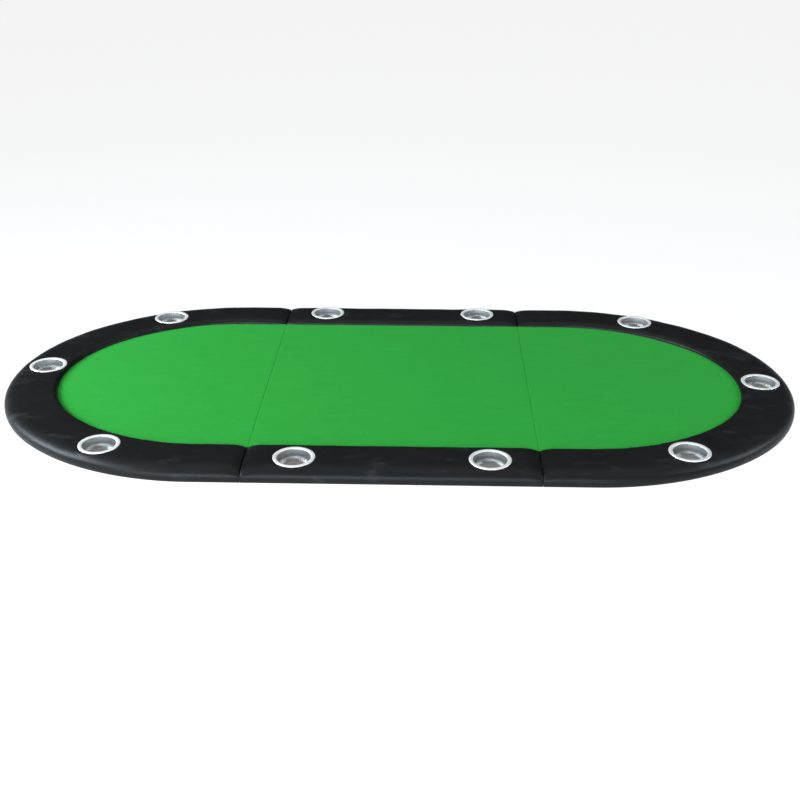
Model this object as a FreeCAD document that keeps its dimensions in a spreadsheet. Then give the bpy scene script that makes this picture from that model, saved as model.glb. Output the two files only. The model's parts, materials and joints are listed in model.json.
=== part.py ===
"""Folding poker table top: three boards with a playing cloth, a padded rail and drop-in cup holders.

Millimetres. X runs along the length, Y across, Z up. The origin is on the surface that the feet stand on,
under the middle of the top. The left wing hangs on two butt hinges and folds flat under the centre section.
The right wing hangs on two double hinges, whose links let it fold flat under the left wing.
"""
import FreeCAD, Part
import math
import os
import Sketcher

SIZES = [
    # the whole top, and the shape of its rounded ends
    ("overall_length", 2080),
    ("overall_width", 1060),
    ("seam_gap", 1),
    ("end_stretch", 42),
    ("nose_tightening", 30),
    # boards and playing surface
    ("foot_height", 7),
    ("board_thickness", 15),
    ("pad_thickness", 6.5),
    ("felt_thickness", 1.5),
    # rail: its section, from the outer edge inwards
    ("rail_width", 133),
    ("rail_height", 20),
    ("outer_roll_width", 42),
    ("outer_roll_rise", 1),
    ("outer_roll_radius", 12),
    ("inner_roll_radius", 12),
    ("vinyl_thickness", 1),
    ("vinyl_flap", 26),
    ("core_thickness", 9),
    ("core_inset", 10),
    ("core_end_gap", 4),
    ("foam_end_round", 5),
    # cup holders
    ("cup_radius", 39.5),
    ("cup_wall", 0.8),
    ("cup_depth", 34),
    ("cup_floor_round", 9),
    ("cup_mouth_round", 2),
    ("cup_flange_width", 9.5),
    ("cup_flange_height", 1.4),
    ("cup_hole_clearance", 1.2),
    ("centre_cup_x", 228),
    ("cup_inset", 64),
    ("end_cup_inset", 76),
    ("left_end_cup_turn", 6.4),
    ("right_end_cup_turn", -1.6),
    ("corner_cup_angle", 25.3),
    # hinges
    ("hinge_y", 300),
    ("hinge_length", 80),
    ("leaf_width", 30),
    ("leaf_thickness", 1.5),
    ("pivot_drop", 3.7),
    ("knuckle_radius", 3),
    ("knuckle_gap", 0.4),
    ("knuckle_relief", 0.6),
    ("pin_radius", 1.5),
    ("pin_clearance", 0.05),
    ("link_span", 45),
    ("link_thickness", 2),
    # hinge screws
    ("hinge_screw_setback", 18),
    ("hinge_screw_radius", 1.5),
    ("hinge_screw_depth", 11),
    ("hinge_screw_head_radius", 3),
    ("hinge_screw_head_height", 1.4),
    ("hinge_screw_spread", 32),
    ("screw_clearance", 0.2),
    # rail screws
    ("rail_screw_radius", 2),
    ("rail_screw_head_radius", 4),
    ("rail_screw_head_height", 2.4),
    ("rail_screw_recess", 0.3),
    ("rail_screw_tip_cover", 1),
    ("rail_screw_inset", 66),
    ("rail_screw_inner_x", 115),
    ("rail_screw_end_margin", 32),
    ("rail_screw_first_angle", 6),
    ("rail_screw_second_angle", 41),
    ("rail_screw_tip_angle", 20),
    # feet
    ("foot_radius", 15),
    ("foot_round", 1.5),
    ("centre_foot_x", 250),
    ("centre_foot_margin", 160),
    ("wing_foot_margin", 110),
    ("wing_foot_y", 220),
    ("tip_foot_margin", 140),
    ("tip_foot_y", 130),
    # staples
    ("staple_crown", 10),
    ("staple_wire", 0.7),
    ("staple_leg", 8),
    ("staple_inset", 16),
    ("staple_pitch", 90),
]

doc = FreeCAD.newDocument("poker_table_top")
sheet = doc.addObject("Spreadsheet::Sheet", "sizes")
for row, (alias, number) in enumerate(SIZES, 1):
    sheet.set(f"A{row}", alias)
    sheet.set(f"B{row}", str(number))
    sheet.setAlias(f"B{row}", alias)
doc.recompute()


def value(expression):
    """The number that an expression on the sheet gives now."""
    return float(sheet.evalExpression(expression))


# ---- places that several pieces share, as expressions on the sheet ----
HALF_WIDTH = "(sizes.overall_width / 2)"
HALF_LENGTH = "(sizes.overall_length / 2)"
SEAM = "(sizes.overall_length / 6)"
CENTRE_FACE = f"({SEAM} - sizes.seam_gap / 2)"
WING_FACE = f"({SEAM} + sizes.seam_gap / 2)"
BOARD_BOTTOM = "sizes.foot_height"
BOARD_TOP = "(sizes.foot_height + sizes.board_thickness)"
PAD_TOP = f"({BOARD_TOP} + sizes.pad_thickness)"
CORE_TOP = f"({BOARD_TOP} + sizes.core_thickness)"
CREST = f"({BOARD_TOP} + sizes.rail_height)"
PIVOT_HEIGHT = "(sizes.foot_height - sizes.pivot_drop)"
CUP_HOLE = "(sizes.cup_radius + sizes.cup_wall + sizes.cup_hole_clearance)"

# The end of the top is five runs: straight, shoulder arc, tip arc, shoulder arc, straight.
# The two shoulder arcs are wider than the half width, and the tip arc is tighter.
EXTRA = "(sizes.end_stretch + sizes.end_stretch ^ 2 / (2 * sizes.nose_tightening))"
SPREAD = f"({EXTRA} + sizes.nose_tightening)"
STRAIGHT_END = f"({HALF_LENGTH} - {HALF_WIDTH} - sizes.end_stretch)"
TIP_CENTRE = f"({HALF_LENGTH} - {HALF_WIDTH} + sizes.nose_tightening)"
SHOULDER_RADIUS = f"({HALF_WIDTH} + {EXTRA})"
TIP_RADIUS = f"({HALF_WIDTH} - sizes.nose_tightening)"
JOIN_X = f"((sizes.end_stretch + sizes.nose_tightening) / {SPREAD})"
JOIN_Y = f"({EXTRA} / {SPREAD})"

# The outer roll of the rail is two arcs: a tight one at the side and a wide one that meets the crest.
ROLL_START = f"({BOARD_TOP} + sizes.outer_roll_rise)"
ROLL_HEIGHT = "(sizes.rail_height - sizes.outer_roll_rise)"
WIDE_ROLL = (
    f"(((sizes.outer_roll_width - sizes.outer_roll_radius) ^ 2 + {ROLL_HEIGHT} ^ 2"
    f" - sizes.outer_roll_radius ^ 2) / (2 * ({ROLL_HEIGHT} - sizes.outer_roll_radius)))"
)

CENTRE_CUPS = [
    (f"{x} * sizes.centre_cup_x", f"{y} * ({HALF_WIDTH} - sizes.cup_inset)")
    for y in (-1, 1)
    for x in (-1, 1)
]


def on_shoulder(side, end, angle, inset):
    """A point at an angle round a shoulder arc from its straight end, on one wing at the front or back."""
    radius = f"({SHOULDER_RADIUS} - {inset})"
    x = f"{side} * ({STRAIGHT_END} + {radius} * sin({angle}))"
    y = f"{end} * ({radius} * cos({angle}) - {EXTRA})"
    return x, y


def on_tip(side, angle, inset):
    """A point at an angle round the tip arc from the long axis of the top."""
    radius = f"({TIP_RADIUS} - {inset})"
    return f"{side} * ({TIP_CENTRE} + {radius} * cos({angle}))", f"{radius} * sin({angle})"


def wing_cups(side):
    """A cup at each shoulder and one at the tip, which is turned a little off the long axis."""
    corner = [on_shoulder(side, end, "sizes.corner_cup_angle", "sizes.cup_inset") for end in (-1, 1)]
    turn = "sizes.right_end_cup_turn" if side > 0 else "sizes.left_end_cup_turn"
    return corner + [on_tip(side, turn, "sizes.end_cup_inset")]


# ---- sketches and features ----
bodies = []


def new_body(label):
    body = doc.addObject("PartDesign::Body", label)
    body.Label = label
    bodies.append(body)
    return body


def arc_centre(start, end, radius, turn):
    """Centre of an arc under a half turn from start to end; turn is 1 anticlockwise, -1 clockwise."""
    middle = (start + end) / 2
    chord = end - start
    height = math.sqrt(max(radius**2 - chord.Length**2 / 4, 0))
    left = FreeCAD.Vector(-chord.y, chord.x, 0).normalize()
    return middle + left * height * turn


def new_sketch(body, name, plane, offset="0"):
    """An empty sketch on one of the body's own origin planes, moved along that plane's normal."""
    sketch = body.newObject("Sketcher::SketchObject", f"{body.Name}_{name}")
    support = [item for item in body.Origin.OriginFeatures if item.Role == plane][0]
    sketch.AttachmentSupport = [(support, "")]
    sketch.MapMode = "FlatFace"
    sketch.setExpression("AttachmentOffset.Base.z", offset)
    return sketch


def bind(sketch, kind, place, expression):
    number = sketch.addConstraint(Sketcher.Constraint(kind, *place, value(expression)))
    sketch.setExpression(f"Constraints[{number}]", expression)


def draw(sketch, corners, closed=True):
    """Draw an outline. A corner is (x, y), or (x, y, radius, turn) where an arc leaves it for the next."""
    points = [FreeCAD.Vector(value(corner[0]), value(corner[1]), 0) for corner in corners]
    count = len(corners) if closed else len(corners) - 1
    ends = []
    for index in range(count):
        start = points[index]
        end = points[(index + 1) % len(points)]
        if len(corners[index]) == 2:
            ends.append((sketch.addGeometry(Part.LineSegment(start, end)), 1, 2))
            continue
        radius, turn = corners[index][2:]
        centre = arc_centre(start, end, value(radius), turn)
        first, last = (start, end) if turn > 0 else (end, start)
        angles = [math.atan2(point.y - centre.y, point.x - centre.x) for point in (first, last)]
        circle = Part.Circle(centre, FreeCAD.Vector(0, 0, 1), value(radius))
        number = sketch.addGeometry(Part.ArcOfCircle(circle, *angles))
        ends.append((number, 1, 2) if turn > 0 else (number, 2, 1))
        bind(sketch, "Radius", (number,), radius)
    for index in range(count):
        number, start, _ = ends[index]
        bind(sketch, "DistanceX", (-1, 1, number, start), corners[index][0])
        bind(sketch, "DistanceY", (-1, 1, number, start), corners[index][1])
        before = ends[index - 1]
        if closed or index:
            sketch.addConstraint(Sketcher.Constraint("Coincident", before[0], before[2], number, start))
    if not closed:
        number, _, end = ends[-1]
        bind(sketch, "DistanceX", (-1, 1, number, end), corners[-1][0])
        bind(sketch, "DistanceY", (-1, 1, number, end), corners[-1][1])
    return sketch


def draw_circles(sketch, places, radius):
    for x, y in places:
        centre = FreeCAD.Vector(value(x), value(y), 0)
        number = sketch.addGeometry(Part.Circle(centre, FreeCAD.Vector(0, 0, 1), value(radius)))
        bind(sketch, "Radius", (number,), radius)
        bind(sketch, "DistanceX", (-1, 1, number, 3), x)
        bind(sketch, "DistanceY", (-1, 1, number, 3), y)
    return sketch


def pad(body, sketch, length, reverse=False, both_ways=False):
    feature = body.newObject("PartDesign::Pad", f"{sketch.Name}_pad")
    feature.Profile = sketch
    feature.setExpression("Length", length)
    feature.Reversed = reverse
    feature.Midplane = both_ways
    doc.recompute()
    return feature


def pocket(body, sketch, depth=None):
    """Cut upwards from the sketch to a depth, or right through both ways; it has to take something away."""
    before = body.Shape.Volume
    feature = body.newObject("PartDesign::Pocket", f"{sketch.Name}_pocket")
    feature.Profile = sketch
    if depth is None:
        feature.Type = "ThroughAll"
        feature.Midplane = True
    else:
        feature.setExpression("Length", depth)
        feature.Reversed = True
    doc.recompute()
    if body.Shape.Volume >= before:
        raise RuntimeError(f"{feature.Name} cuts nothing")
    return feature


def pipe(body, profile, path):
    feature = body.newObject("PartDesign::AdditivePipe", f"{profile.Name}_pipe")
    feature.Profile = profile
    feature.Spine = (path, [f"Edge{number}" for number in range(1, path.GeometryCount + 1)])
    doc.recompute()
    return feature


def round_edges(body, base, radius, chosen):
    """Fillet the edges of the base feature that chosen() picks."""
    edges = enumerate(base.Shape.Edges, 1)
    names = [f"Edge{number}" for number, edge in edges if chosen(edge.BoundBox)]
    feature = body.newObject("PartDesign::Fillet", f"{base.Name}_round")
    feature.Base = (base, names)
    feature.setExpression("Radius", radius)
    doc.recompute()
    return feature


def wing_outline(side, inset, start=WING_FACE):
    """Corners of a wing's edge at an inset, from the front of its seam round the end to the back."""
    half = f"({HALF_WIDTH} - {inset})"
    shoulder = f"({SHOULDER_RADIUS} - {inset})"
    tip = f"({TIP_RADIUS} - {inset})"
    join_x = f"{side} * ({TIP_CENTRE} + {tip} * {JOIN_X})"
    join_y = f"{tip} * {JOIN_Y}"
    return [
        (f"{side} * {start}", f"-{half}"),
        (f"{side} * {STRAIGHT_END}", f"-{half}", shoulder, side),
        (join_x, f"-({join_y})", tip, side),
        (join_x, join_y, shoulder, side),
        (f"{side} * {STRAIGHT_END}", half),
        (f"{side} * {start}", half),
    ]


def rectangle(x_low, x_high, y_low, y_high):
    return [(x_low, y_low), (x_high, y_low), (x_high, y_high), (x_low, y_high)]


def centre_outline(inset):
    half = f"({HALF_WIDTH} - {inset})"
    return rectangle(f"-{CENTRE_FACE}", CENTRE_FACE, f"-{half}", half)


# ---- where screws and feet go ----
def hinge_screws(side, on_wing):
    """Two rows of screws in each hinge leaf, on the centre or on the wing side of a seam."""
    pivot = "0" if side < 0 else "sizes.link_span / 2"
    way = 1 if on_wing else -1
    x = f"{side} * ({SEAM} + {way} * ({pivot} + sizes.hinge_screw_setback))"
    steps = [(end, step) for end in (-1, 1) for step in (-1, 0, 1)]
    return [(x, f"{end} * sizes.hinge_y + {step} * sizes.hinge_screw_spread") for end, step in steps]


def section_hinge_screws(side):
    """All the hinge screws of one section: the centre has both seams', and a wing has its own."""
    return hinge_screws(-1, False) + hinge_screws(1, False) if side == 0 else hinge_screws(side, True)


def rail_screws(side):
    """Screws up through the board into the rail core: side 0 is the centre section."""
    y = f"({HALF_WIDTH} - sizes.rail_screw_inset)"
    if side == 0:
        near = ("-1 * sizes.rail_screw_inner_x", "0", "sizes.rail_screw_inner_x")
        far = [f"{way} * ({CENTRE_FACE} - sizes.rail_screw_end_margin)" for way in (-1, 1)]
        return [(x, f"{end} * {y}") for x in (*near, *far) for end in (-1, 1)]
    places = []
    for end in (-1, 1):
        places.append((f"{side} * ({WING_FACE} + sizes.rail_screw_end_margin)", f"{end} * {y}"))
        for angle in ("sizes.rail_screw_first_angle", "sizes.rail_screw_second_angle"):
            places.append(on_shoulder(side, end, angle, "sizes.rail_screw_inset"))
        places.append(on_tip(side, f"{end} * sizes.rail_screw_tip_angle", "sizes.rail_screw_inset"))
    return places


def feet_places(side):
    """The wings' feet stand clear of the centre's, so that they pass each other when the top is folded."""
    if side == 0:
        across = f"({HALF_WIDTH} - sizes.centre_foot_margin)"
        return [(f"{x} * sizes.centre_foot_x", f"{y} * {across}") for x in (-1, 1) for y in (-1, 1)]
    inner = f"{side} * ({SEAM} + sizes.wing_foot_margin)"
    outer = f"{side} * ({HALF_LENGTH} - sizes.tip_foot_margin)"
    near = [(inner, f"{y} * sizes.wing_foot_y") for y in (-1, 1)]
    return near + [(outer, f"{y} * sizes.tip_foot_y") for y in (-1, 1)]


# ---- boards, foam pads and playing cloths ----
SECTIONS = {"centre": 0, "left": -1, "right": 1}
SKIN = "sizes.vinyl_thickness"


def section_outline(side, inset):
    return centre_outline(inset) if side == 0 else wing_outline(side, inset)


def board(name, side):
    body = new_body(f"{name}_board")
    outline = new_sketch(body, "outline", "XY_Plane", BOARD_BOTTOM)
    draw(outline, section_outline(side, SKIN))
    pad(body, outline, "sizes.board_thickness")
    cups = CENTRE_CUPS if side == 0 else wing_cups(side)
    pocket(body, draw_circles(new_sketch(body, "cup_holes", "XY_Plane", BOARD_BOTTOM), cups, CUP_HOLE))
    pilots = new_sketch(body, "pilots", "XY_Plane", BOARD_BOTTOM)
    draw_circles(pilots, section_hinge_screws(side), "sizes.hinge_screw_radius")
    pocket(body, pilots, "sizes.hinge_screw_depth")
    bores = new_sketch(body, "rail_screw_bores", "XY_Plane", BOARD_BOTTOM)
    draw_circles(bores, rail_screws(side), "sizes.rail_screw_radius + sizes.screw_clearance")
    pocket(body, bores)
    seats = new_sketch(body, "rail_screw_seats", "XY_Plane", BOARD_BOTTOM)
    draw_circles(seats, rail_screws(side), "sizes.rail_screw_head_radius + sizes.screw_clearance")
    pocket(body, seats, "sizes.rail_screw_recess + sizes.rail_screw_head_height")


def layer(label, side, bottom, thickness):
    body = new_body(label)
    outline = new_sketch(body, "outline", "XY_Plane", bottom)
    pad(body, draw(outline, section_outline(side, "sizes.rail_width")), thickness)


for name, side in SECTIONS.items():
    board(name, side)
for name, side in SECTIONS.items():
    layer(f"{name}_pad_foam", side, BOARD_TOP, "sizes.pad_thickness")
    layer(f"{name}_felt", side, PAD_TOP, "sizes.felt_thickness")


# ---- rails ----
def across(end, inwards):
    """A place on the rail's section, measured inwards from the outer edge: end is -1 front, 1 back."""
    return f"{end} * ({HALF_WIDTH} - {inwards})"


def roll_corners(end, inset):
    """The rail's upper outline at an inset: the outer roll, the crest, the inner roll, the inner wall."""
    tight = f"(sizes.outer_roll_radius - {inset})"
    wide = f"({WIDE_ROLL} - {inset})"
    rise = f"({WIDE_ROLL} - sizes.outer_roll_radius)"
    run = "(sizes.outer_roll_radius - sizes.outer_roll_width)"
    join = f"(sizes.outer_roll_radius + {tight} * {run} / {rise})"
    join_z = f"({ROLL_START} + {tight} * ({WIDE_ROLL} - {ROLL_HEIGHT}) / {rise})"
    last_start = across(end, "(sizes.rail_width - sizes.inner_roll_radius)")
    top = f"({CREST} - {inset})"
    return [
        (across(end, inset), ROLL_START, tight, end),
        (across(end, join), join_z, wide, end),
        (across(end, "sizes.outer_roll_width"), top),
        (last_start, top, f"(sizes.inner_roll_radius - {inset})", end),
        (across(end, f"(sizes.rail_width - {inset})"), f"({CREST} - sizes.inner_roll_radius)"),
    ]


def backwards(corners):
    """The same outline walked the other way."""
    turned = []
    for index in range(len(corners) - 1, -1, -1):
        corner = corners[index][:2]
        arc = corners[index - 1][2:] if index else ()
        turned.append((*corner, arc[0], -arc[1]) if arc else corner)
    return turned


def foam_section(end):
    inner_wall = across(end, f"(sizes.rail_width - {SKIN})")
    core_inner = across(end, "(sizes.rail_width - sizes.core_inset)")
    core_outer = across(end, "sizes.core_inset")
    base = [
        (inner_wall, BOARD_TOP),
        (core_inner, BOARD_TOP),
        (core_inner, CORE_TOP),
        (core_outer, CORE_TOP),
        (core_outer, BOARD_TOP),
        (across(end, SKIN), BOARD_TOP),
    ]
    return roll_corners(end, SKIN) + base


def core_section(end):
    inner = across(end, "(sizes.rail_width - sizes.core_inset)")
    outer = across(end, "sizes.core_inset")
    return [(outer, BOARD_TOP), (outer, CORE_TOP), (inner, CORE_TOP), (inner, BOARD_TOP)]


def vinyl_section(end):
    """The leatherette: a flap under the board, the side, the rolls and the inner wall."""
    flap_end = across(end, "sizes.vinyl_flap")
    outside = [(flap_end, f"({BOARD_BOTTOM} - {SKIN})"), (across(end, "0"), f"({BOARD_BOTTOM} - {SKIN})")]
    outside += roll_corners(end, "0")
    outside.append((across(end, "sizes.rail_width"), BOARD_TOP))
    inside = [(across(end, f"(sizes.rail_width - {SKIN})"), BOARD_TOP)]
    inside += backwards(roll_corners(end, SKIN))
    inside += [(across(end, SKIN), BOARD_BOTTOM), (flap_end, BOARD_BOTTOM)]
    return outside + inside


def vinyl_end(end):
    """The leatherette that closes a rail at a seam, above the board."""
    return [
        (across(end, "0"), BOARD_TOP),
        *roll_corners(end, "0"),
        (across(end, "sizes.rail_width"), BOARD_TOP),
    ]


def at_seam_top(places):
    """Picks the rolls and the crest of a section at one of these faces, and not the core's pocket."""
    low = value(ROLL_START)
    core_top = value(CORE_TOP)
    faces = [value(place) for place in places]

    def chosen(box):
        flat = [x for x in faces if abs(box.XMin - x) < 0.001 and abs(box.XMax - x) < 0.001]
        return bool(flat) and box.ZMin > low - 0.001 and box.ZMax > core_top + 0.001

    return chosen


def straight_rail(label, end, section, inset):
    """A rail piece of the centre section: its section carried along X between the seams."""
    body = new_body(label)
    profile = draw(new_sketch(body, "section", "YZ_Plane"), section(end))
    return body, pad(body, profile, f"2 * ({CENTRE_FACE} - {inset})", both_ways=True)


def curved_rail(label, side, section, inset):
    """A rail piece of a wing: its section carried from seam to seam round the end."""
    body = new_body(label)
    start = f"({WING_FACE} + {inset})"
    path = draw(new_sketch(body, "path", "XY_Plane"), wing_outline(side, "0", start), closed=False)
    profile = draw(new_sketch(body, "section", "YZ_Plane", f"{side} * {start}"), section(-1))
    return body, pipe(body, profile, path)


def cut_rail(body, side, radius, screws):
    """Cup holes right through a rail piece, and blind screw holes from below where it takes screws."""
    edge = body.Shape.BoundBox.YMin

    def on_this_rail(places):
        return [place for place in places if side or edge * value(place[1]) > 0]

    cups = on_this_rail(wing_cups(side) if side else CENTRE_CUPS)
    pocket(body, draw_circles(new_sketch(body, "cup_holes", "XY_Plane"), cups, radius))
    if screws:
        sketch = new_sketch(body, "screw_holes", "XY_Plane", BOARD_TOP)
        draw_circles(sketch, on_this_rail(rail_screws(side)), "sizes.rail_screw_radius")
        pocket(body, sketch, "sizes.core_thickness - sizes.rail_screw_tip_cover")


RAILS = {"front": (0, -1), "back": (0, 1), "left": (-1, 0), "right": (1, 0)}
for name, (side, end) in RAILS.items():
    make, way = (curved_rail, side) if side else (straight_rail, end)
    body, shape = make(f"rail_core_{name}", way, core_section, f"({SKIN} + sizes.core_end_gap)")
    cut_rail(body, side, CUP_HOLE, True)
    body, shape = make(f"rail_foam_{name}", way, foam_section, SKIN)
    ends = [f"{x} * ({CENTRE_FACE} - {SKIN})" for x in (-1, 1)]
    ends = [f"{side} * ({WING_FACE} + {SKIN})"] if side else ends
    round_edges(body, shape, "sizes.foam_end_round", at_seam_top(ends))
    cut_rail(body, side, CUP_HOLE, False)
    body, shape = make(f"rail_cover_{name}", way, vinyl_section, "0")
    ends = [f"{side} * {WING_FACE}"] if side else [f"{x} * {CENTRE_FACE}" for x in (-1, 1)]
    for number, place in enumerate(ends):
        cap = new_sketch(body, f"end_{number}", "YZ_Plane", place)
        for edge in (-1, 1) if side else (end,):
            draw(cap, vinyl_end(edge))
        pad(body, cap, SKIN, reverse=value(place) > 0 if side == 0 else value(place) < 0)
    cut_rail(body, side, CUP_HOLE, False)


# ---- cup holders ----
def cup_holder(label, x, y):
    """A drawn steel cup: floor, wall and a flange whose edge curls down onto the rail."""
    body = new_body(label)
    wall = "sizes.cup_wall"
    inner = "sizes.cup_radius"
    outer = f"({inner} + {wall})"
    rim = f"({outer} + sizes.cup_flange_width)"
    high = "sizes.cup_flange_height"
    mouth = "sizes.cup_mouth_round"
    floor = "-sizes.cup_depth"
    bend = "sizes.cup_floor_round"
    corners = [
        ("0", floor),
        (f"{outer} - {bend}", floor, bend, 1),
        (outer, f"{floor} + {bend}"),
        (outer, f"{high} - {mouth}", f"({mouth} - {wall})", -1),
        (f"{inner} + {mouth}", f"{high} - {wall}"),
        (f"{rim} - {high}", f"{high} - {wall}", f"({high} - {wall})", -1),
        (f"{rim} - {wall}", "0"),
        (rim, "0", high, 1),
        (f"{rim} - {high}", high),
        (f"{inner} + {mouth}", high, mouth, 1),
        (inner, f"{high} - {mouth}"),
        (inner, f"{floor} + {bend}", f"({bend} - {wall})", -1),
        (f"{outer} - {bend}", f"{floor} + {wall}"),
        ("0", f"{floor} + {wall}"),
    ]
    profile = draw(new_sketch(body, "section", "XZ_Plane"), corners)
    feature = body.newObject("PartDesign::Revolution", f"{label}_turned")
    feature.Profile = profile
    feature.ReferenceAxis = (profile, ["V_Axis"])
    feature.Angle = 360
    body.setExpression("Placement.Base.x", x)
    body.setExpression("Placement.Base.y", y)
    body.setExpression("Placement.Base.z", CREST)


for number, (x, y) in enumerate(wing_cups(-1) + CENTRE_CUPS + wing_cups(1), 1):
    cup_holder(f"cup_holder_{number:02d}", x, y)


# ---- hinges: each is built about its own pivot line and then placed ----
KNUCKLES = 5
KNUCKLE = f"(sizes.hinge_length / {KNUCKLES})"
PLATE_BOTTOM = "(sizes.pivot_drop - sizes.leaf_thickness)"
RELIEF = "(sizes.knuckle_radius + sizes.knuckle_relief)"


def place_hinge(body, x, end):
    body.setExpression("Placement.Base.x", x)
    body.setExpression("Placement.Base.y", f"{end} * sizes.hinge_y")
    body.setExpression("Placement.Base.z", PIVOT_HEIGHT)


def gaps_for_mate(body, own_first, x_low, x_high, name):
    """Cut the barrel away where the mating piece has its knuckles."""
    sketch = new_sketch(body, name, "XY_Plane")
    for number in range(KNUCKLES):
        if (number % 2 == 0) == own_first:
            continue
        low = f"-sizes.hinge_length / 2 + {number} * {KNUCKLE} - sizes.knuckle_gap / 2"
        high = f"-sizes.hinge_length / 2 + {number + 1} * {KNUCKLE} + sizes.knuckle_gap / 2"
        draw(sketch, rectangle(x_low, x_high, low, high))
    pocket(body, sketch)


def barrel(body, x, name):
    sketch = draw_circles(new_sketch(body, name, "XZ_Plane"), [(x, "0")], "sizes.knuckle_radius")
    return pad(body, sketch, "sizes.hinge_length", both_ways=True)


def pin_bore(body, x, radius, name):
    pocket(body, draw_circles(new_sketch(body, name, "XZ_Plane"), [(x, "0")], radius))


def leaf(label, way, own_first, tight, x, end):
    """A hinge leaf under a board: way is the side of the pivot that its plate lies on."""
    body = new_body(label)
    half = "sizes.hinge_length / 2"
    outline = rectangle("0", f"{way} * sizes.leaf_width", f"-{half}", half)
    pad(body, draw(new_sketch(body, "plate", "XY_Plane", PLATE_BOTTOM), outline), "sizes.leaf_thickness")
    barrel(body, "0", "barrel")
    gaps_for_mate(body, own_first, f"-{way} * {RELIEF}", f"{way} * {RELIEF}", "gaps")
    pin_bore(body, "0", "sizes.pin_radius" if tight else "sizes.pin_radius + sizes.pin_clearance", "bore")
    setback = f"{way} * sizes.hinge_screw_setback"
    rows = [(setback, f"{step} * sizes.hinge_screw_spread") for step in (-1, 0, 1)]
    holes = new_sketch(body, "screw_holes", "XY_Plane")
    pocket(body, draw_circles(holes, rows, "sizes.hinge_screw_radius + sizes.screw_clearance"))
    place_hinge(body, x, end)


def pin(label, x, end):
    body = new_body(label)
    sketch = draw_circles(new_sketch(body, "section", "XZ_Plane"), [("0", "0")], "sizes.pin_radius")
    pad(body, sketch, "sizes.hinge_length", both_ways=True)
    place_hinge(body, x, end)


def link(label, x, end):
    """The middle piece of a double hinge: a plate with a barrel along each edge."""
    body = new_body(label)
    half = "sizes.hinge_length / 2"
    plate = new_sketch(body, "plate", "XY_Plane", "-sizes.link_thickness / 2")
    pad(body, draw(plate, rectangle("0", "sizes.link_span", f"-{half}", half)), "sizes.link_thickness")
    barrel(body, "0", "inner_barrel")
    barrel(body, "sizes.link_span", "outer_barrel")
    gaps_for_mate(body, False, f"-{RELIEF}", RELIEF, "inner_gaps")
    gaps_for_mate(body, False, f"sizes.link_span - {RELIEF}", f"sizes.link_span + {RELIEF}", "outer_gaps")
    pin_bore(body, "0", "sizes.pin_radius + sizes.pin_clearance", "inner_bore")
    pin_bore(body, "sizes.link_span", "sizes.pin_radius + sizes.pin_clearance", "outer_bore")
    place_hinge(body, x, end)


LEFT_PIVOT = f"-{SEAM}"
INNER_PIVOT = f"({SEAM} - sizes.link_span / 2)"
OUTER_PIVOT = f"({SEAM} + sizes.link_span / 2)"
for name, end in {"front": -1, "back": 1}.items():
    leaf(f"butt_hinge_{name}_centre_leaf", 1, True, True, LEFT_PIVOT, end)
    leaf(f"butt_hinge_{name}_wing_leaf", -1, False, False, LEFT_PIVOT, end)
    pin(f"butt_hinge_{name}_pin", LEFT_PIVOT, end)
    leaf(f"double_hinge_{name}_centre_leaf", -1, True, True, INNER_PIVOT, end)
    pin(f"double_hinge_{name}_inner_pin", INNER_PIVOT, end)
    link(f"double_hinge_{name}_link", INNER_PIVOT, end)
    leaf(f"double_hinge_{name}_wing_leaf", 1, True, True, OUTER_PIVOT, end)
    pin(f"double_hinge_{name}_outer_pin", OUTER_PIVOT, end)


# ---- screws and feet: one node a section, with a separate solid for each ----
def screws(label, places, seat, length, radius, head_radius, head_height):
    """Pan-head screws that point up: seat is the height of the face that the heads bear on."""
    body = new_body(label)
    body.AllowCompound = True
    bottom = f"{seat} - {head_height}"
    shanks = draw_circles(new_sketch(body, "shanks", "XY_Plane", bottom), places, radius)
    pad(body, shanks, f"{length} + {head_height}")
    heads = draw_circles(new_sketch(body, "heads", "XY_Plane", bottom), places, head_radius)
    pad(body, heads, head_height)


def feet(label, places):
    body = new_body(label)
    body.AllowCompound = True
    pads = draw_circles(new_sketch(body, "pads", "XY_Plane"), places, "sizes.foot_radius")
    shape = pad(body, pads, BOARD_BOTTOM)
    round_edges(body, shape, "sizes.foot_round", lambda box: box.ZMax < 0.001)


for name, side in SECTIONS.items():
    screws(
        f"hinge_screws_{name}",
        section_hinge_screws(side),
        f"({BOARD_BOTTOM} - sizes.leaf_thickness)",
        "(sizes.leaf_thickness + sizes.hinge_screw_depth)",
        "sizes.hinge_screw_radius",
        "sizes.hinge_screw_head_radius",
        "sizes.hinge_screw_head_height",
    )
    screws(
        f"rail_screws_{name}",
        rail_screws(side),
        f"({BOARD_BOTTOM} + sizes.rail_screw_recess + sizes.rail_screw_head_height)",
        f"({CORE_TOP} - sizes.rail_screw_tip_cover - {BOARD_BOTTOM} - sizes.rail_screw_recess"
        " - sizes.rail_screw_head_height)",
        "sizes.rail_screw_radius",
        "sizes.rail_screw_head_radius",
        "sizes.rail_screw_head_height",
    )
    feet(f"feet_{name}", feet_places(side))


# ---- staples: set along the edge, square to it, so their shapes are worked out here ----
def staple(centre, along):
    """One staple: its crown under the flap and two legs up through it into the board."""
    crown = value("sizes.staple_crown")
    wire = value("sizes.staple_wire")
    leg = value("sizes.staple_leg")
    top = value(f"{BOARD_BOTTOM} - {SKIN}")
    bar = Part.makeBox(crown, wire, wire, FreeCAD.Vector(-crown / 2, -wire / 2, top - wire))
    leg_places = (-crown / 2, crown / 2 - wire)
    legs = [Part.makeBox(wire, wire, leg, FreeCAD.Vector(x, -wire / 2, top)) for x in leg_places]
    shape = bar.fuse(legs).removeSplitter()
    turn = FreeCAD.Rotation(FreeCAD.Vector(1, 0, 0), along)
    shape.Placement = FreeCAD.Placement(centre, turn)
    return shape


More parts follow.
